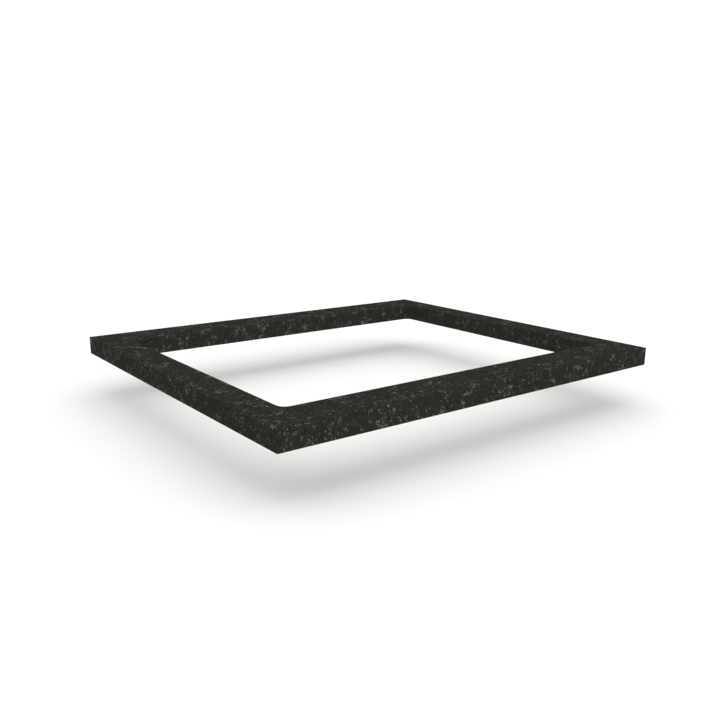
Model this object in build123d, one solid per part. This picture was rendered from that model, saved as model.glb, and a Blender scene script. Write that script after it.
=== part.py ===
from build123d import *
import os

# Rectangular granite surround cut from one slab of 30 mm stone, with a large
# rectangular cut-out. Each narrow rail carries a steel rod, bedded in resin in a
# saw kerf in the underside, so that the stone doesn't snap when it is lifted.
#
# Frame: origin at the middle of the underside, +X along the length, +Y along the
# depth from the front rail to the back rail, +Z up. Lengths are in millimetres.

# The stone
LENGTH = 730.0
DEPTH = 630.0
THICKNESS = 30.0
SIDE_RAIL_WIDTH = 50.0
END_RAIL_WIDTH = 70.0
CUTOUT_CORNER_RADIUS = 12.5  # half of the 25 mm router bit that cuts the corner
EASED_EDGE_RADIUS = 1.0

# The kerfs, cut by plunging an angle grinder's blade and running it along the rail
KERF_WIDTH = 8.0
KERF_DEPTH = 12.0
BLADE_RADIUS = 62.5
KERF_INSET_ENDS = 35.0  # from the front or back edge to the kerf's centre line
KERF_INSET_SIDES = 25.0  # from the left or right edge to the kerf's centre line
KERF_END_STONE_LONG = 20.0  # stone left past each end of a front or back kerf
KERF_END_STONE_SHORT = 45.0  # stone left past each end of a side kerf

# The rods and their bedding
ROD_DIAMETER = 6.0
ROD_HEIGHT = 7.5  # from the underside to the rod's axis
ROD_LENGTH_LONG = 630.0
ROD_LENGTH_SHORT = 480.0
RESIN_RECESS = 0.4  # the resin shrinks back from the underside as it cures

# Worked out from the dimensions above
CUTOUT_LENGTH = LENGTH - 2 * SIDE_RAIL_WIDTH
CUTOUT_DEPTH = DEPTH - 2 * END_RAIL_WIDTH
BLADE_CENTRE_HEIGHT = KERF_DEPTH - BLADE_RADIUS
BLADE_RUN_OUT = (BLADE_RADIUS**2 - BLADE_CENTRE_HEIGHT**2) ** 0.5
BLADE_TRAVEL_LONG = LENGTH - 2 * KERF_END_STONE_LONG - 2 * BLADE_RUN_OUT
BLADE_TRAVEL_SHORT = DEPTH - 2 * KERF_END_STONE_SHORT - 2 * BLADE_RUN_OUT

ALONG_X = 0.0
ALONG_Y = 90.0

# Each rail: where its kerf's middle is, which way it runs, how far the blade's
# centre travels along it, and how long its rod is
RAILS = {
    "front": (0.0, KERF_INSET_ENDS - DEPTH / 2, ALONG_X, BLADE_TRAVEL_LONG, ROD_LENGTH_LONG),
    "back": (0.0, DEPTH / 2 - KERF_INSET_ENDS, ALONG_X, BLADE_TRAVEL_LONG, ROD_LENGTH_LONG),
    "left": (KERF_INSET_SIDES - LENGTH / 2, 0.0, ALONG_Y, BLADE_TRAVEL_SHORT, ROD_LENGTH_SHORT),
    "right": (LENGTH / 2 - KERF_INSET_SIDES, 0.0, ALONG_Y, BLADE_TRAVEL_SHORT, ROD_LENGTH_SHORT),
}


def stone_ring():
    """The slab with its cut-out, before the kerfs, with every arris eased."""
    outline = Rectangle(LENGTH, DEPTH)
    cutout = RectangleRounded(CUTOUT_LENGTH, CUTOUT_DEPTH, CUTOUT_CORNER_RADIUS)
    ring = extrude(outline - cutout, amount=THICKNESS)
    horizontal = ring.faces().filter_by(Axis.Z).edges()
    corners = ring.edges().filter_by(Axis.Z).filter_by(is_outer_corner)
    return fillet(horizontal + corners, EASED_EDGE_RADIUS)


def is_outer_corner(edge):
    """True for an upright edge at one of the slab's four outer corners."""
    return abs(edge.center().X) > CUTOUT_LENGTH / 2 + SIDE_RAIL_WIDTH / 2


def blade_sweep(travel):
    """The space that the blade passes through, centred on the kerf, along X."""
    side_view = SlotCenterToCenter(travel, 2 * BLADE_RADIUS)
    upright = extrude(Plane.XZ * side_view, amount=KERF_WIDTH / 2, both=True)
    return Pos(0, 0, BLADE_CENTRE_HEIGHT) * upright


def rod(length):
    """A straight round rod, centred on the kerf, along X."""
    bar = Cylinder(ROD_DIAMETER / 2, length, rotation=(0, 90, 0))
    return Pos(0, 0, ROD_HEIGHT) * bar


def resin_bed(travel, rod_length):
    """The resin that fills the kerf round the rod, up to its shrunken surface."""
    fill_height = KERF_DEPTH - RESIN_RECESS
    fill_zone = Box(
        LENGTH, KERF_WIDTH, fill_height, align=(Align.CENTER, Align.CENTER, Align.MIN)
    )
    filled = blade_sweep(travel) & (Pos(0, 0, RESIN_RECESS) * fill_zone)
    return filled - rod(rod_length)


def build_nodes():
    """Every separate piece, by node name."""
    slab = stone_ring()
    nodes = {}
    for rail, (x, y, turn, travel, rod_length) in RAILS.items():
        place = Pos(x, y, 0) * Rot(0, 0, turn)
        slab -= place * blade_sweep(travel)
        nodes["rod_" + rail] = place * rod(rod_length)
        nodes["resin_" + rail] = place * resin_bed(travel, rod_length)
    nodes["granite_slab"] = slab
    return nodes


os.makedirs("parts", exist_ok=True)
for node, shape in build_nodes().items():
    shape.label = node
    export_step(shape, f"parts/{node}.step")
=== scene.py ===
import math
import random
from itertools import product

import bmesh
import bpy
import numpy as np
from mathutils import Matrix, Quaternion, Vector


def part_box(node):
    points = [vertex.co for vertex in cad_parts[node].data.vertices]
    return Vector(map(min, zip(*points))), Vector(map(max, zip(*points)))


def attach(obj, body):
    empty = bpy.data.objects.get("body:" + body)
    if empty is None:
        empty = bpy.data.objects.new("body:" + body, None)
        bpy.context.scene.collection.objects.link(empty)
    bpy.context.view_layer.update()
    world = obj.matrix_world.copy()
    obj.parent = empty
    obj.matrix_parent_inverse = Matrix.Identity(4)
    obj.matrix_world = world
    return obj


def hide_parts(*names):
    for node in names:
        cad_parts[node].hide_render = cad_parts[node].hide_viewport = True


# A dark granite surround, cut from one slab, seen in a white studio. The stone is a
# mesh built here from the CAD node's box. The steel rods and the resin round them are
# the CAD nodes themselves. All lengths are in metres.

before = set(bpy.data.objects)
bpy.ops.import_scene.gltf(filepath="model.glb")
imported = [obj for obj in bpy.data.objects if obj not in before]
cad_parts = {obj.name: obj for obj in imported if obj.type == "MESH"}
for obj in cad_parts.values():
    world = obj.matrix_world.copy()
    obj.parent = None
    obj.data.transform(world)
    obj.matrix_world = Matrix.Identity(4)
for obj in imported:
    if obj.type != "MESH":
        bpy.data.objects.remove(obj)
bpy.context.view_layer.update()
slab_low, slab_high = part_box("granite_slab")

MM = 0.001

# ---- the stone's shape ----
LENGTH = slab_high.x - slab_low.x
DEPTH = slab_high.y - slab_low.y
THICKNESS = slab_high.z - slab_low.z
SIDE_RAIL_WIDTH = 50 * MM
END_RAIL_WIDTH = 70 * MM
CUTOUT_CORNER_RADIUS = 12.5 * MM
EASED_EDGE = 1 * MM
LEAST_CORNER_RADIUS = 0.2 * MM
GRID_STEP = 1.5 * MM
ARRIS_SEGMENTS = 3
CORNER_SEGMENTS = 10
ROWS_ACROSS = (0.02, 0.06, 0.3, 0.7, 0.94, 0.98)  # shares of a face's width

# ---- the kerfs in its underside, each where its resin node is ----
KERFS = ("resin_front", "resin_back", "resin_left", "resin_right")
BLADE_RADIUS = 62.5 * MM
BLADE_SEGMENTS = 18
KERF_OPENS_BELOW = 3 * MM

# ---- which of the stone's two materials a face has ----
HONED = 0
SAWN = 1
FACES_DOWN = -0.9  # a face is sawn if its normal points down more than this

# ---- its UV map ----
UV_MAP = "OFBake"
TOP, UNDERSIDE, OUTER_WALL, INNER_WALL = range(4)
STRIP_GAP = 3 * MM
LIES_FLAT = 0.7  # a face whose normal is at least this far up or down is laid out as flat
KERF_NARROWING = 0.5  # how much narrower a kerf's roof is laid out than its mouth

# ---- chips in the arrises ----
CHIP_SEED = 11
CHIPS_PER_METRE = 5
CHIP_RADIUS = (2.5 * MM, 7 * MM)
CHIP_BITE = (0.1 * MM, 0.45 * MM)
CHIP_TILT = (0.15, 0.45)  # of a half turn, from level
EASED_AWAY = EASED_EDGE * (math.sqrt(2) - 1)  # how far easing takes an arris back

# ---- the stone's pattern. A scale is features per metre. A range is of noise: what lies
# below it is off, and above it fully on. A strength is from 0, dark, to 1, pale, and where
# there are two they are the least and the most. ----
PATTERN_START = (5.5, 1.5, 0.0)
WARP_SCALE = 220.0
WARP_REACH = 2.0 * MM
RAG_SCALE = 1100.0
RAG_REACH = 0.9 * MM
REGION_SCALE = 32.0
REGION_RANGE = (0.44, 0.60)
SQUIGGLE_SCALE = 115.0
SQUIGGLE_TURN = (1.902664, 0.0, 0.951332)  # away from the other noises' grid
SQUIGGLE_WIDTH = 0.034
NET_SCALE = 135.0
NET_WIDTH = 0.085
LINE_CORE = 0.4  # how much of a line's width is at full strength
GATE_SCALE = 108.0
GATE_RANGE = (0.512, 0.552)
GATE_CROWDING = 0.16  # how much further the gate opens where strokes crowd
BEAD_SCALE = 520.0
BEAD_RANGE = (0.42, 0.56)
BEAD_STRENGTH = (0.25, 1.0)
FILL_RANGE = (0.74, 0.80)
FILL_STRENGTH = 0.8
FADE_SCALE = 130.0
FADE_RANGE = (0.3, 0.7)
STROKE_STRENGTH = (0.2, 1.0)
GRAIN_SCALE = 430.0
GRAIN_SHARE = (0.006, 0.07)  # how many crystals are pale, away from strokes and among them
GRAIN_RIM = (0.35, 0.6)  # where one fades out, from its middle
GRAIN_STRENGTH = (0.35, 1.0)
LATH_SCALE = 480.0
LATH_SHARE = 0.016
LATH_RIM = (0.25, 0.5)  # likewise
LATH_STRENGTH = (0.25, 0.65)
LATH_STRETCH = (1.0, 1.0, 0.16)
LATH_TURNS = ((0.5, 0.2, 0.5), (0.1, 1.2, 0.9), (1.2, -0.5, 0.2), (-0.7, 0.6, 1.4))
LOOKS_THAT_WAY = (0.3, 0.9)  # how much of a face's normal is along an axis
TOP_STRENGTH = 0.95
# how strong the pale is on faces that look along X: painted shade that darkens the stone's ends
END_ON_PAINTED_SHADE_STRENGTH = 0.75
GROUND_CRYSTALS = ((240.0, 0.30), (620.0, 0.55))  # crystals per metre, and contrast
FINE_SCALE = 1300.0
FINE_GRAIN = 0.65
PEPPER_CONTRAST = 0.9
# painted sheen on the flat faces along which the pale crystals split, and their tone varying at
# random
PAINTED_SHEEN_SCALE = 2080.0
PAINTED_SHEEN_CONTRAST = 0.7
GROUND_COLOUR = (0.0215, 0.0207, 0.0176, 1.0)
PALE_COLOUR = (0.136, 0.1327, 0.120, 1.0)

# ---- the stone's finish: honed all round, and sawn underneath ----
STONE_SPECULAR = 0.0
HONE_RANGE = (0.3, 0.9)
HONE_TAKEN_BY_PALE = 0.4
HONED_ROUGHNESS = (0.68, 0.52)  # dullest and finest
SAWN_ROUGHNESS = (0.86, 0.78)
PALE_STANDS_PROUD = 0.5  # of the fine noise's height
HONED_RELIEF = 0.05 * MM
SAWN_RELIEF = 0.25 * MM
SAWN_COLOUR = (0.060, 0.059, 0.054, 1.0)
SAWN_WHITENING = (0.10, 0.75)  # how much of that colour covers the stone, least and most
SAW_MARK_SCALES = ((45.0, 0.45), (420.0, 0.55))  # marks per metre, and their share
SAW_MARK_TURN = (0.0, 0.0, 0.03)
SAW_MARK_DEPTH = 3.0
SAW_DUST_SCALE = 35.0
SAW_GRAIN = 0.6
CRUSHED_BY_SAW = 0.6
CRUSHED_BY_DUST = 0.4
CRUSHED_RANGE = (0.35, 0.65)
ALONG_STRETCH = 0.03  # how much slower a mark or streak varies along its length

# ---- the resin and the steel in the kerfs ----
RESIN_COLOUR = (0.016, 0.015, 0.014, 1.0)
RESIN_STREAK_COLOUR = (0.150, 0.142, 0.125, 1.0)
RESIN_STREAK_SCALE = 420.0
RESIN_STREAK_RANGE = (0.42, 0.62)
RESIN_CLOUD_SCALE = 90.0
RESIN_CLOUD_RANGE = (0.38, 0.62)
RESIN_GRAIN = 0.6
RESIN_GLOSS_RANGE = (0.3, 0.7)
RESIN_ROUGHNESS = (0.30, 0.55)
RESIN_IOR = 1.55
RESIN_RELIEF = 0.3 * MM
STREAK_HEIGHT = 0.6
BUBBLE_SCALE = 300.0
BUBBLE_SHARE = 0.10
BUBBLE_RIM = (0.2, 0.35)
BUBBLE_DEPTH = 0.8
PIT_DUST_COLOUR = (0.190, 0.183, 0.165, 1.0)
STEEL_COLOUR = (0.42, 0.42, 0.43, 1.0)
STEEL_ROUGHNESS = (0.32, 0.72)
STEEL_RELIEF = 0.02 * MM
DRAWN_SCALE = 2500.0
DRAWN_RANGE = (0.25, 0.75)
DRAWN_TONE = (0.8, 1.15)
RUST_COLOUR = (0.16, 0.075, 0.035, 1.0)
RUST_SCALE = 70.0
RUST_GRAIN = 0.65
RUST_RANGE = (0.56, 0.72)
RUST_HIDES_METAL = 0.5
RUST_METALLIC = 0.1

# ---- camera: the direction that it looks in, and where it aims ----
AZIMUTH = math.radians(-37.71)
ELEVATION = math.radians(13.90)
ROLL = math.radians(0.46)
AIM = Vector((0.0008, -0.0033, -0.0085))
CAMERA_DISTANCE = 1.3463
SENSOR_WIDTH = 36.0
LENS = 38.3

# ---- studio ----
FLOOR_DROP = 70 * MM
FLOOR_SIZE = 30.0
FLOOR_COLOUR = (0.803, 0.796, 0.784, 1.0)
SKY_STRENGTH = 1.10
SOFTBOXES = (  # where each one is, how much it adds to the sky, and how narrow it is
    (Vector((0.4, -1.0, 0.2)), 1.05, 6.0),
    (Vector((0.0, 0.0, 1.0)), 0.50, 3.0),
)


# ------------------------------------------------------------------ materials

class Shader:
    """A material and short ways to add nodes to it. Inputs are numbers, colours or
    other nodes' outputs."""

    def __init__(self, name):
        self.material = bpy.data.materials.new(name)
        self.material.use_nodes = True
        self.tree = self.material.node_tree
        self.surface = self.tree.nodes["Principled BSDF"]
        self.place = self.add("ShaderNodeVectorMath", {
            0: self.add("ShaderNodeTexCoord").outputs["Object"], 1: PATTERN_START,
        }, operation="ADD").outputs[0]

    def add(self, kind, inputs=None, **settings):
        node = self.tree.nodes.new(kind)
        for name, value in settings.items():
            setattr(node, name, value)
        for name, value in (inputs or {}).items():
            self.feed(node.inputs[name], value)
        return node

    def feed(self, socket, value):
        if isinstance(value, bpy.types.NodeSocket):
            self.tree.links.new(value, socket)
        else:
            socket.default_value = value

    def finish(self, **inputs):
        """Feeds the surface's inputs, which are named with _ for each space."""
        for name, value in inputs.items():
            self.feed(self.surface.inputs[name.replace("_", " ")], value)

    def math(self, operation, a, b=0.0, c=0.0):
        return self.add("ShaderNodeMath", {0: a, 1: b, 2: c}, operation=operation).outputs[0]

    def times(self, a, b):
        return self.math("MULTIPLY", a, b)

    def between(self, value, low, high):
        """From low to high as the value goes from 0 to 1."""
        return self.math("MULTIPLY_ADD", value, high - low, low)

    def varied(self, value, contrast):
        """From a little under 1 to a little over it as the value goes from 0 to 1."""
        return self.math("MULTIPLY_ADD", value, contrast, 1 - contrast / 2)

    def ramp(self, value, low, high, to_low=0.0, to_high=1.0, smooth=True):
        """From to_low to to_high as the value goes from low to high, and level past it."""
        return self.add("ShaderNodeMapRange", {
            "Value": value, "From Min": low, "From Max": high,
            "To Min": to_low, "To Max": to_high,
        }, interpolation_type="SMOOTHSTEP" if smooth else "LINEAR").outputs["Result"]

    def noise(self, place, scale, detail=2.0, grain=0.5, output="Fac"):
        """Smooth noise with finer octaves on it. Its grain is how strongly they show."""
        return self.add("ShaderNodeTexNoise", {
            "Vector": place, "Scale": scale, "Detail": detail, "Roughness": grain,
        }).outputs[output]

    def cells(self, place, scale, feature="F1"):
        """Irregular crystals, with the distance to a crystal's middle or to its edge."""
        return self.add("ShaderNodeTexVoronoi", {
            "Vector": place, "Scale": scale}, feature=feature).outputs

    def lots(self, cells):
        """Three random numbers from 0 to 1 for each cell."""
        return self.add("ShaderNodeSeparateColor", {"Color": cells["Color"]}).outputs

    def blend(self, share, first, second):
        """A mix of two colours, through those of the mix node's sockets that are colours."""
        node = self.add("ShaderNodeMix", {"Factor": share}, data_type="RGBA")
        in_first, in_second = (socket for socket in node.inputs if socket.type == "RGBA")
        self.feed(in_first, first)
        self.feed(in_second, second)
        return next(socket for socket in node.outputs if socket.type == "RGBA")

    def tinted(self, colour, factor):
        """The colour made lighter or darker by a factor that varies."""
        return self.add("ShaderNodeVectorMath", {
            0: colour[:3], "Scale": factor}, operation="SCALE").outputs[0]

    def turned(self, place, turn, stretch):
        return self.add("ShaderNodeMapping", {
            "Vector": place, "Rotation": turn, "Scale": stretch,
        }).outputs["Vector"]

    def swayed(self, place, scale, reach):
        """The place moved a little by a smooth noise, so that straight borders wander."""
        sway = self.add("ShaderNodeVectorMath", {
            0: self.noise(place, scale, detail=1.0, output="Color"), 1: (0.5,) * 3,
        }, operation="SUBTRACT").outputs[0]
        return self.add("ShaderNodeVectorMath", {
            0: sway, 1: (reach,) * 3, 2: place,
        }, operation="MULTIPLY_ADD").outputs[0]

    def bump(self, height, distance):
        return self.add("ShaderNodeBump", {
            "Height": height, "Strength": 1.0, "Distance": distance}).outputs["Normal"]


def granite(name, sawn=False):
    """Dark gabbro: a near-black groundmass with pale feldspar in broken, beaded chains
    that crowd in some places, and pale grains and thin laths between them. Sawn stone is
    the same under a skin that the saw crushed and whitened in lines."""
    s = Shader(name)
    place = s.swayed(s.swayed(s.place, WARP_SCALE, WARP_REACH), RAG_SCALE, RAG_REACH)
    crowd = s.ramp(s.noise(place, REGION_SCALE, detail=1.0), *REGION_RANGE)
    pale = s.math("MAXIMUM", strokes(s, place, crowd), grains(s, place, crowd))
    for turn in LATH_TURNS:
        pale = s.math("MAXIMUM", pale, laths(s, place, turn))

    # the hone closes the grain of the top, so less of the pale shows on it. On the faces
    # that look along X the pale is dimmed as well. This is painted shade that darkens the
    # stone's ends, put down to pale crystals lying along X that those faces cut end on, a guess
    normal = s.add("ShaderNodeNewGeometry").outputs["Normal"]
    way = s.add("ShaderNodeSeparateXYZ", {"Vector": normal}).outputs
    end_on = s.math("ABSOLUTE", way["X"])
    pale = s.times(pale, s.ramp(way["Z"], *LOOKS_THAT_WAY, 1.0, TOP_STRENGTH))
    # painted shade: the pale is dimmed on the faces that look along X, so the stone's ends come
    # out darker
    pale = s.times(pale, s.ramp(end_on, *LOOKS_THAT_WAY, 1.0, END_ON_PAINTED_SHADE_STRENGTH))

    fine = s.noise(place, FINE_SCALE, detail=3.0, grain=FINE_GRAIN)
    # the pale crystals lighter and darker in fine patches: partly their own tone, partly
    # painted sheen off the flat faces along which they split
    tone_and_painted_sheen = s.varied(s.noise(s.place, PAINTED_SHEEN_SCALE), PAINTED_SHEEN_CONTRAST)
    colour = s.blend(pale, s.tinted(GROUND_COLOUR, groundmass(s, place, fine)),
                     s.tinted(PALE_COLOUR, tone_and_painted_sheen))
    relief = s.math("MULTIPLY_ADD", pale, PALE_STANDS_PROUD, fine)
    if sawn:
        marks = saw_marks(s)
        dust = s.noise(s.place, SAW_DUST_SCALE, detail=4.0, grain=SAW_GRAIN)
        crushed = s.math("MULTIPLY_ADD", marks, CRUSHED_BY_SAW, s.times(dust, CRUSHED_BY_DUST))
        whitening = s.ramp(crushed, *CRUSHED_RANGE, *SAWN_WHITENING)
        colour = s.blend(whitening, colour, SAWN_COLOUR)
        relief = s.math("MULTIPLY_ADD", marks, SAW_MARK_DEPTH, relief)

    # the pale grains take the hone better than the groundmass
    polish = s.math("MULTIPLY_ADD", pale, HONE_TAKEN_BY_PALE, fine)
    roughness = SAWN_ROUGHNESS if sawn else HONED_ROUGHNESS
    s.finish(Base_Color=colour, Specular_IOR_Level=STONE_SPECULAR,
             Roughness=s.ramp(polish, *HONE_RANGE, *roughness),
             Normal=s.bump(relief, SAWN_RELIEF if sawn else HONED_RELIEF))
    return s.material


def strokes(s, place, crowd):
    """Pieces of winding lines and of a net of crystal borders, shown where a gate is
    open, broken into beads, and filled in where the gate is wide open."""
    border = s.cells(place, NET_SCALE, "DISTANCE_TO_EDGE")["Distance"]
    lines = s.math("MAXIMUM", line(s, border, NET_WIDTH), squiggles(s, place))
    gate = s.noise(place, GATE_SCALE, detail=1.0)
    gate = s.math("ADD", gate, s.between(crowd, -GATE_CROWDING, 0.0))
    shown = s.times(lines, s.ramp(gate, *GATE_RANGE))
    bead = s.noise(s.place, BEAD_SCALE, detail=1.0)
    shown = s.times(shown, s.ramp(bead, *BEAD_RANGE, *BEAD_STRENGTH))
    shown = s.math("MAXIMUM", shown, s.ramp(gate, *FILL_RANGE, 0.0, FILL_STRENGTH))
    fade = s.noise(place, FADE_SCALE, detail=0.0)
    return s.times(shown, s.ramp(fade, *FADE_RANGE, *STROKE_STRENGTH))


def squiggles(s, place):
    """Thin winding lines: a smooth noise, where it crosses its middle value."""
    turned = s.turned(place, SQUIGGLE_TURN, (1.0, 1.0, 1.0))
    level = s.noise(turned, SQUIGGLE_SCALE, detail=1.0)
    return line(s, s.math("ABSOLUTE", s.math("SUBTRACT", level, 0.5)), SQUIGGLE_WIDTH)


def line(s, distance, width):
    """Pale as far as the distance is small, with soft sides."""
    return s.ramp(distance, width * LINE_CORE, width, 1.0, 0.0)


def grains(s, place, crowd):
    """Whole crystals picked at random, more of them where strokes crowd."""
    crystal = s.cells(place, GRAIN_SCALE)
    lot = s.lots(crystal)
    picked = s.math("LESS_THAN", lot[0], s.between(crowd, *GRAIN_SHARE))
    strength = s.times(picked, s.between(lot[1], *GRAIN_STRENGTH))
    return s.times(strength, s.ramp(crystal["Distance"], *GRAIN_RIM, 1.0, 0.0))


def laths(s, place, turn):
    """Thin crystals that all lie one way."""
    crystal = s.cells(s.turned(place, turn, LATH_STRETCH), LATH_SCALE)
    lot = s.lots(crystal)
    picked = s.math("GREATER_THAN", lot[0], 1 - LATH_SHARE)
    body = s.times(picked, s.ramp(crystal["Distance"], *LATH_RIM, 1.0, 0.0))
    return s.times(body, s.between(lot[1], *LATH_STRENGTH))


def groundmass(s, place, fine):
    """How bright the groundmass is: dark crystals of two sizes, and fine pepper."""
    tone = s.varied(fine, PEPPER_CONTRAST)
    for scale, contrast in GROUND_CRYSTALS:
        tone = s.times(tone, s.varied(s.lots(s.cells(place, scale))[0], contrast))
    return tone


def saw_marks(s):
    """Shallow lines that the gang saw leaves across the underside, coarse and fine."""
    place = s.turned(s.place, SAW_MARK_TURN, along(1))
    marks = 0.0
    for scale, share in SAW_MARK_SCALES:
        marks = s.math("MULTIPLY_ADD", s.noise(place, scale, grain=SAW_GRAIN), share, marks)
    return marks


def along(long_axis):
    """Scales that draw a noise out along X or Y."""
    stretch = [1.0, 1.0, 1.0]
    stretch[long_axis] = ALONG_STRETCH
    return tuple(stretch)


def resin(name, long_axis):
    """Tinted polyester, trowelled along the kerf: cloudy and streaked, with burst
    bubbles that hold stone dust."""
    s = Shader(name)
    drawn_out = s.turned(s.place, (0.0, 0.0, 0.0), along(long_axis))
    streak = s.noise(drawn_out, RESIN_STREAK_SCALE, detail=3.0, grain=RESIN_GRAIN)
    cloud = s.noise(s.place, RESIN_CLOUD_SCALE, detail=3.0, grain=RESIN_GRAIN)
    pale = s.times(s.ramp(streak, *RESIN_STREAK_RANGE), s.ramp(cloud, *RESIN_CLOUD_RANGE))
    bubble = s.cells(s.place, BUBBLE_SCALE)
    burst = s.math("LESS_THAN", s.lots(bubble)[0], BUBBLE_SHARE)
    pit = s.times(burst, s.ramp(bubble["Distance"], *BUBBLE_RIM, 1.0, 0.0))
    colour = s.blend(pale, RESIN_COLOUR, RESIN_STREAK_COLOUR)
    height = s.math("MULTIPLY_ADD", streak, STREAK_HEIGHT, s.times(pit, -BUBBLE_DEPTH))
    s.finish(Base_Color=s.blend(pit, colour, PIT_DUST_COLOUR), IOR=RESIN_IOR,
             Roughness=s.ramp(streak, *RESIN_GLOSS_RANGE, *RESIN_ROUGHNESS),
             Normal=s.bump(height, RESIN_RELIEF))
    return s.material


def drawn_steel(name, long_axis):
    """Bright drawn bar: die lines along it and a bloom of rust here and there."""
    s = Shader(name)
    lines = s.noise(s.turned(s.place, (0.0, 0.0, 0.0), along(long_axis)), DRAWN_SCALE)
    bloom = s.noise(s.place, RUST_SCALE, detail=4.0, grain=RUST_GRAIN)
    rust = s.ramp(bloom, *RUST_RANGE)
    tone = s.ramp(lines, *DRAWN_RANGE, *DRAWN_TONE, smooth=False)
    s.finish(Base_Color=s.blend(rust, s.tinted(STEEL_COLOUR, tone), RUST_COLOUR),
             Metallic=s.ramp(rust, 0.0, RUST_HIDES_METAL, 1.0, RUST_METALLIC),
             Roughness=s.between(rust, *STEEL_ROUGHNESS),
             Normal=s.bump(s.math("ADD", lines, rust), STEEL_RELIEF))
    return s.material


def dress_cad_nodes():
    """Gives the resin and the rods their materials. Their shapes stay as they are."""
    for long_axis, rails in ((0, ("front", "back")), (1, ("left", "right"))):
        axis_name = "xy"[long_axis]
        finishes = {
            "resin_": resin("resin_along_" + axis_name, long_axis),
            "rod_": drawn_steel("drawn_steel_along_" + axis_name, long_axis),
        }
        for rail, (kind, finish) in product(rails, finishes.items()):
            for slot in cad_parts[kind + rail].material_slots:
                slot.material = finish


# ------------------------------------------------------------------ stone mesh

def rounded_loop(half_x, half_y, radius, height):
    """Points round a rectangle with rounded corners, anticlockwise from above.

    Every loop has the same number of points, laid out alike, so that any two can be
    joined by quads."""
    quarter = math.pi / 2
    in_x, in_y = half_x - radius, half_y - radius
    corners = np.array([(in_x, -in_y), (in_x, in_y), (-in_x, in_y), (-in_x, -in_y)])
    sides = [round(DEPTH / GRID_STEP), round(LENGTH / GRID_STEP)] * 2
    points = []
    for number, steps in enumerate(sides):
        corner, following = corners[number], corners[(number + 1) % 4]
        start = (number - 1) * quarter
        for angle in start + np.arange(CORNER_SEGMENTS) / CORNER_SEGMENTS * quarter:
            points.append(corner + radius * np.array([math.cos(angle), math.sin(angle)]))
        end = start + quarter
        outward = radius * np.array([math.cos(end), math.sin(end)])
        for share in np.arange(steps) / steps:
            points.append(corner + share * (following - corner) + outward)
    return np.column_stack([points, np.full(len(points), height)])


def outside(inset, height):
    """A loop at the slab's outer wall, or this far in from it."""
    radius = max(EASED_EDGE - inset, LEAST_CORNER_RADIUS)
    return rounded_loop(LENGTH / 2 - inset, DEPTH / 2 - inset, radius, height)


def cutout(outset, height):
    """A loop at the cut-out's wall, or this far out from it, over the stone."""
    return rounded_loop(LENGTH / 2 - SIDE_RAIL_WIDTH + outset,
                        DEPTH / 2 - END_RAIL_WIDTH + outset,
                        CUTOUT_CORNER_RADIUS + outset, height)


def arris(wall, at_top, to_wall):
    """Loops round the quarter circle between a wall and the top or the underside."""
    loops = []
    for step in range(ARRIS_SEGMENTS + 1):
        angle = step / ARRIS_SEGMENTS * math.pi / 2
        off_wall = EASED_EDGE * (1 - math.sin(angle))
        off_flat = EASED_EDGE * (1 - math.cos(angle))
        loops.append(wall(off_wall, slab_high.z - off_flat if at_top else off_flat))
    return loops if to_wall else loops[::-1]


def stone_section():
    """Loops once round the stone's cross-section: up the outside, in over the top,
    down the cut-out's wall and back out under it."""
    arrises = (
        arris(outside, at_top=False, to_wall=True),
        arris(outside, at_top=True, to_wall=False),
        arris(cutout, at_top=True, to_wall=True),
        arris(cutout, at_top=False, to_wall=False),
    )
    section = []
    for loops, following in zip(arrises, arrises[1:] + arrises[:1]):
        section += loops
        section += [loops[-1] + share * (following[0] - loops[-1]) for share in ROWS_ACROSS]
    return np.array(section)


def joined_loops(section):
    """Quads between each loop and the next, and from the last back to the first."""
    rows, columns = section.shape[:2]
    index = np.arange(rows * columns).reshape(rows, columns)
    after_row = np.roll(index, -1, axis=0)
    after_column = np.roll(index, -1, axis=1)
    after_both = np.roll(after_row, -1, axis=1)
    quads = np.stack([index, after_column, after_both, after_row], axis=-1)
    return quads.reshape(-1, 4)


def straight_arrises():
    """Every straight arris: whether it runs along X, how far it reaches from its middle,
    how far over and how high it lies, and which ways out of the stone are over and up."""
    rims = (
        (LENGTH / 2, DEPTH / 2, 1),
        (LENGTH / 2 - SIDE_RAIL_WIDTH, DEPTH / 2 - END_RAIL_WIDTH, -1),
    )
    levels = ((slab_low.z, -1), (slab_high.z, 1))
    for rim, (height, up), along_x, side in product(rims, levels, (True, False), (-1, 1)):
        rim_x, rim_y, outward = rim
        reach = (rim_x if along_x else rim_y) - CUTOUT_CORNER_RADIUS
        over = side * (rim_y if along_x else rim_x)
        yield along_x, reach, over, height, outward * side, up


def chipped(points):
    """The same points with small conchoidal chips bitten out along the arrises: those
    that a ball overlaps are pushed back to its surface."""
    rng = random.Random(CHIP_SEED)
    for along_x, reach, over, height, outward, up in straight_arrises():
        for _ in range(round(2 * reach * CHIPS_PER_METRE)):
            place = rng.uniform(-reach, reach)
            radius = rng.uniform(*CHIP_RADIUS)
            clear = radius - rng.uniform(*CHIP_BITE) - EASED_AWAY
            tilt = rng.uniform(*CHIP_TILT) * math.pi
            across = over + clear * math.cos(tilt) * outward
            z = height + clear * math.sin(tilt) * up
            centre = (place, across, z) if along_x else (across, place, z)
            offset = points - np.array(centre)
            distance = np.linalg.norm(offset, axis=1)
            inside = distance < radius
            scale = radius / distance[inside]
            points[inside] = centre + offset[inside] * scale[:, None]
    return points


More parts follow.
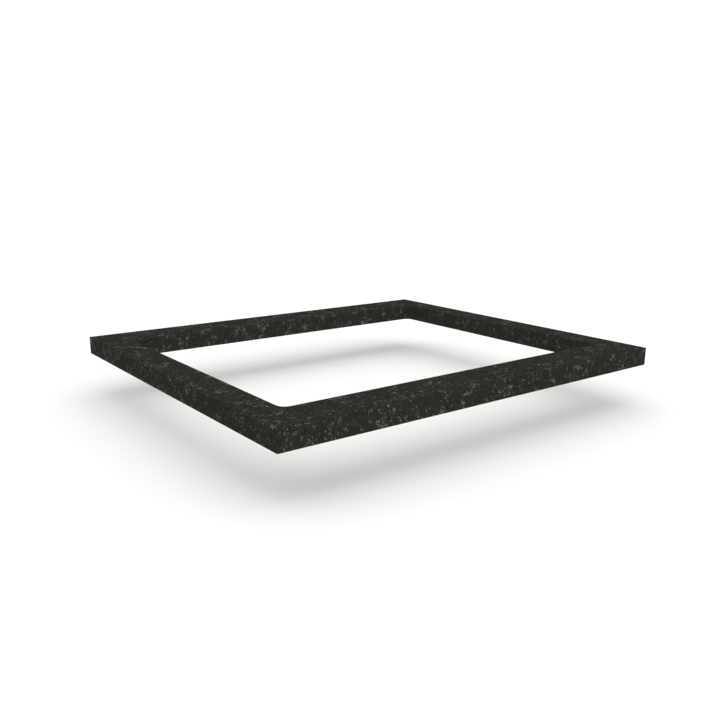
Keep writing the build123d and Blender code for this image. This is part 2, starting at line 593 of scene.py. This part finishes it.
def blade_path(half_length, mouth_height, roof_height):
    """The outline, along a rail and upward, of where the saw blade passed: straight
    between two places of its centre, with an arc of its own radius at each end."""
    centre_height = roof_height - BLADE_RADIUS
    half_travel = half_length - math.sqrt(BLADE_RADIUS**2 - (mouth_height - centre_height) ** 2)
    lowest = math.asin((-KERF_OPENS_BELOW - centre_height) / BLADE_RADIUS)
    angles = np.linspace(lowest, math.pi / 2, BLADE_SEGMENTS + 1)
    run = half_travel + BLADE_RADIUS * np.cos(angles)
    height = centre_height + BLADE_RADIUS * np.sin(angles)
    return [*zip(run, height), *zip(-run[::-1], height[::-1])]


def kerf_cutter(node):
    """The space that the saw blade swept in the kerf that a resin node fills."""
    low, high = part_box(node)
    middle, size = (low + high) / 2, high - low
    along_x = size.x > size.y
    outline = blade_path(max(size.x, size.y) / 2, low.z, high.z)
    half_width = min(size.x, size.y) / 2
    points = []
    for side, (run, height) in product((-half_width, half_width), outline):
        x, y = (run, side) if along_x else (side, run)
        points.append((middle.x + x, middle.y + y, height))
    count = len(outline)
    walls = [(i, (i + 1) % count, count + (i + 1) % count, count + i) for i in range(count)]
    ends = [tuple(reversed(range(count))), tuple(range(count, 2 * count))]
    mesh = bpy.data.meshes.new("kerf_cutter")
    mesh.from_pydata(points, [], walls + ends)
    mesh.polygons.foreach_set("material_index", [SAWN] * len(mesh.polygons))
    work = bmesh.new()
    work.from_mesh(mesh)
    bmesh.ops.recalc_face_normals(work, faces=work.faces)
    work.to_mesh(mesh)
    work.free()
    return bpy.data.objects.new("kerf_cutter", mesh)


def cut_kerfs(stone):
    """Cuts every kerf out of the stone, and leaves no cutter or modifier behind."""
    cutters = [kerf_cutter(node) for node in KERFS]
    for cutter in cutters:
        bpy.context.scene.collection.objects.link(cutter)
        cut = stone.modifiers.new("kerf", "BOOLEAN")
        cut.operation = "DIFFERENCE"
        cut.solver = "EXACT"
        cut.object = cutter
    bpy.context.view_layer.update()
    whole = stone.evaluated_get(bpy.context.evaluated_depsgraph_get())
    uncut, stone.data = stone.data, bpy.data.meshes.new_from_object(whole)
    stone.modifiers.clear()
    stone.data.name = "granite_surround"
    bpy.data.meshes.remove(uncut)
    for cutter in cutters:
        bpy.data.meshes.remove(cutter.data)


# ------------------------------------------------------------------ stone UV map

def read(items, name, kind=float, width=1):
    """One row of values for each vertex, corner or face of a mesh."""
    values = np.empty(len(items) * width, kind)
    items.foreach_get(name, values)
    return values.reshape(-1, width) if width > 1 else values


def strip_places():
    """Where each strip of the UV map starts, by face kind, rail axis and rail side, and
    how tall they stand together."""
    heights = np.empty((4, 2))
    heights[[TOP, UNDERSIDE]] = SIDE_RAIL_WIDTH, END_RAIL_WIDTH
    heights[[OUTER_WALL, INNER_WALL]] = THICKNESS
    start = np.zeros((4, 2, 2))
    height = STRIP_GAP
    for kind, axis, side in np.ndindex(start.shape):
        start[kind, axis, side] = height
        height += heights[kind, axis] + STRIP_GAP
    return start, height


def face_places(mesh, half, width):
    """Each face's kind, the axis that its rail is on, and the side of it, -1 or 1. Flat
    faces are shared out at the mitres, and walls by where they look."""
    normal = read(mesh.polygons, "normal", width=3)
    centre = read(mesh.polygons, "center", width=3)
    finish = read(mesh.polygons, "material_index", np.int32)
    top = normal[:, 2] > LIES_FLAT
    under = (finish == SAWN) | (normal[:, 2] < -LIES_FLAT)
    by_mitre = np.argmin((half - np.abs(centre[:, :2])) / width, axis=1)
    by_look = np.argmax(np.abs(normal[:, :2]), axis=1)
    axis = np.where(top | under, by_mitre, by_look)
    every = np.arange(len(axis))
    side = np.where(centre[every, axis] > 0, 1, -1)
    wall = np.where(normal[every, axis] * side < 0, INNER_WALL, OUTER_WALL)
    return np.where(top, TOP, np.where(under, UNDERSIDE, wall)), axis, side


def lay_out(mesh):
    """Gives the stone a UV map of straight strips, one for each face of each rail, so
    that a baked map spends its pixels on stone and not on the cut-out."""
    half = np.array([LENGTH, DEPTH]) / 2
    width = np.array([SIDE_RAIL_WIDTH, END_RAIL_WIDTH])
    face = np.repeat(np.arange(len(mesh.polygons)),
                     read(mesh.polygons, "loop_total", np.int32))
    kind, axis, side = (values[face] for values in face_places(mesh, half, width))
    finish = read(mesh.polygons, "material_index", np.int32)[face]
    corner = read(mesh.loops, "vertex_index", np.int32)
    place = read(mesh.vertices, "co", width=3)[corner]

    # each corner of each face: how far along its rail, and how far in or up
    run = np.where(axis == 1, -side * place[:, 0], side * place[:, 1])
    mirrored = (kind == UNDERSIDE) | (kind == INNER_WALL)
    run = np.where(mirrored, -run, run) + half[1 - axis]
    inward = half[axis] - side * place[np.arange(len(face)), axis]
    kerf_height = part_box(KERFS[0])[1].z
    narrowed = 1 - KERF_NARROWING * place[:, 2] / kerf_height
    middle = width[axis] / 2
    inward = np.where(finish == SAWN, middle + (inward - middle) * narrowed, inward)
    flat = (kind == TOP) | (kind == UNDERSIDE)
    across = np.where(flat, inward, place[:, 2])

    start, height = strip_places()
    across += start[kind, axis, (side > 0).astype(int)]
    laid_out = np.column_stack([run + STRIP_GAP, across]) / height
    mesh.uv_layers.new(name=UV_MAP).uv.foreach_set("vector", laid_out.ravel())


def make_stone():
    section = stone_section()
    points = chipped(section.reshape(-1, 3).copy())
    mesh = bpy.data.meshes.new("granite_surround")
    mesh.from_pydata(points.tolist(), [], joined_loops(section).tolist())
    for finish in (granite("granite_honed"), granite("granite_sawn", sawn=True)):
        mesh.materials.append(finish)
    for face in mesh.polygons:
        face.material_index = SAWN if face.normal.z < FACES_DOWN else HONED
    stone = bpy.data.objects.new("granite_surround", mesh)
    bpy.context.scene.collection.objects.link(stone)
    cut_kerfs(stone)
    lay_out(stone.data)
    stone.data.shade_smooth()
    return stone


stone = make_stone()
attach(stone, "root")
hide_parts("granite_slab")
dress_cad_nodes()

# ------------------------------------------------------------------ studio

def make_floor():
    half = FLOOR_SIZE / 2
    height = slab_low.z - FLOOR_DROP
    mesh = bpy.data.meshes.new("floor")
    mesh.from_pydata([(-half, -half, height), (half, -half, height),
                      (half, half, height), (-half, half, height)], [], [(0, 1, 2, 3)])
    paper = Shader("floor_paper")
    paper.finish(Base_Color=FLOOR_COLOUR, Roughness=1.0, Specular_IOR_Level=0.0)
    mesh.materials.append(paper.material)
    floor = bpy.data.objects.new("floor", mesh)
    bpy.context.scene.collection.objects.link(floor)


def make_sky():
    """A white studio, evenly lit all round, with wide soft boxes in front and above."""
    world = bpy.data.worlds.new("studio")
    world.use_nodes = True
    sky = world.node_tree

    def math_node(operation, first, second):
        node = sky.nodes.new("ShaderNodeMath")
        node.operation = operation
        for socket, value in zip(node.inputs, (first, second)):
            if isinstance(value, bpy.types.NodeSocket):
                sky.links.new(value, socket)
            else:
                socket.default_value = value
        return node.outputs["Value"]

    direction = sky.nodes.new("ShaderNodeTexCoord").outputs["Generated"]
    strength = SKY_STRENGTH
    for place, added, narrowness in SOFTBOXES:
        facing = sky.nodes.new("ShaderNodeVectorMath")
        facing.operation = "DOT_PRODUCT"
        facing.inputs[1].default_value = place.normalized()
        sky.links.new(direction, facing.inputs[0])
        glow = math_node("MAXIMUM", facing.outputs["Value"], 0.0)
        glow = math_node("POWER", glow, narrowness)
        glow = math_node("MULTIPLY", glow, added)
        strength = math_node("ADD", strength, glow)
    sky.links.new(strength, sky.nodes["Background"].inputs["Strength"])
    sky.nodes["Background"].inputs["Color"].default_value = (1.0, 1.0, 1.0, 1.0)
    bpy.context.scene.world = world
    bpy.context.scene.view_settings.view_transform = "Standard"


make_floor()
make_sky()

# ------------------------------------------------------------------ camera

def make_camera():
    away = Vector((math.sin(AZIMUTH) * math.cos(ELEVATION),
                   -math.cos(AZIMUTH) * math.cos(ELEVATION),
                   math.sin(ELEVATION)))
    camera = bpy.data.objects.new("camera", bpy.data.cameras.new("camera"))
    camera.data.sensor_width = SENSOR_WIDTH
    camera.data.lens = LENS
    camera.location = AIM + away * CAMERA_DISTANCE
    camera.rotation_mode = "QUATERNION"
    camera.rotation_quaternion = (-away).to_track_quat("-Z", "Y") @ Quaternion((0, 0, 1), ROLL)
    bpy.context.scene.collection.objects.link(camera)
    bpy.context.scene.camera = camera


make_camera()
